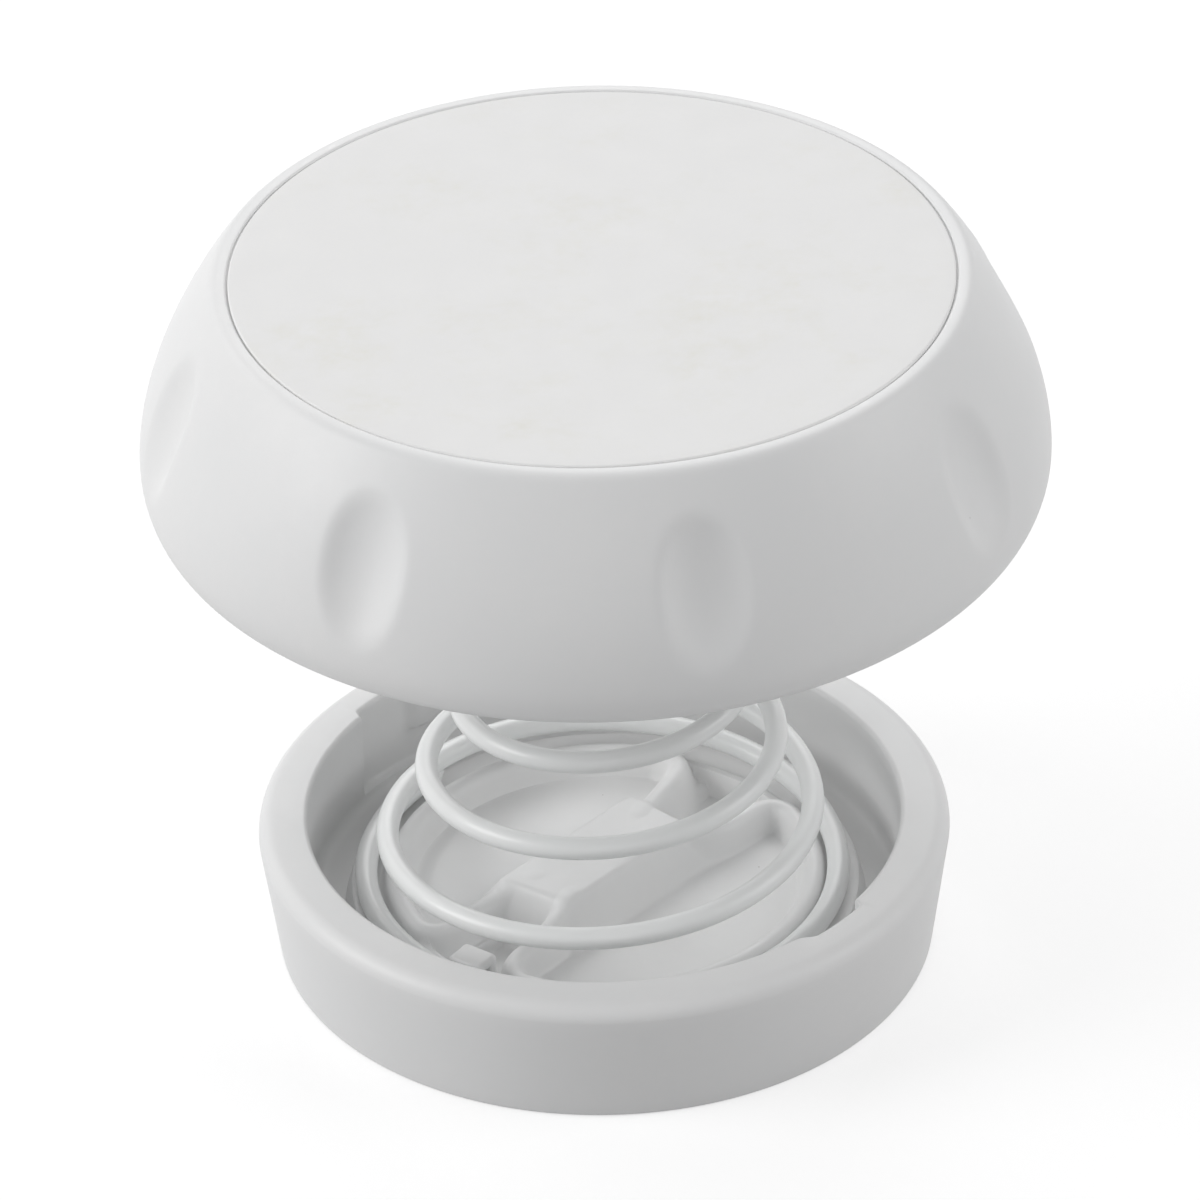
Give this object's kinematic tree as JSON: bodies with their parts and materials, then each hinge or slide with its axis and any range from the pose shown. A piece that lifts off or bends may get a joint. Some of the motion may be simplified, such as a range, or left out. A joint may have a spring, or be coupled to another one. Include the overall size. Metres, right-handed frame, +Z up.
{
  "type": "door stop",
  "caption": "Round press-and-twist door stop: a sprung bumper cap on a conical spring over a shallow base cup, locked down by a bayonet.",
  "frame": {"origin": "centre of the underside, on the mounting surface", "axes": "+Z up along the common axis of the cup, spring and cap; the two keyways of the bayonet lie at -42.5 and 137.5 degrees from +X"},
  "size_m": [0.0586, 0.0586, 0.0505],
  "materials": {
    "moulded_white": "satin white moulded plastic with a fine grain",
    "coated_wire": "semi-gloss white coating over spring steel wire",
    "strike_elastomer": "matte white elastomer with faint handling smudges",
    "foam_adhesive": "off-white double-sided foam",
    "inner_plastic": "natural white low-friction plastic",
    "plated_steel": "bright zinc-plated steel"
  },
  "bodies": {
    "base": {"base_cup": "moulded_white", "mounting_pad": "foam_adhesive", "conical_spring": "coated_wire"},
    "swivel": {"spring_collar": "inner_plastic", "swivel_washer": "plated_steel", "shoulder_screw": "plated_steel"},
    "cap": {"cap_shell": "moulded_white", "latch_ring": "inner_plastic", "latch_ring_screws": "plated_steel", "disc_adhesive": "foam_adhesive", "strike_disc": "strike_elastomer"}
  },
  "joints": [
    {"name": "press", "type": "slide", "parent": "base", "child": "swivel", "axis": [0, 0, 1], "range_m": [-0.033, 0], "stiffness_N_per_m": 520, "springref_m": 0.001, "deforming": ["conical_spring"]},
    {"name": "twist", "type": "hinge", "parent": "swivel", "child": "cap", "pos_m": [0, 0, 0.045], "axis": [0, 0, 1], "range_deg": [-50, 0]}
  ]
}
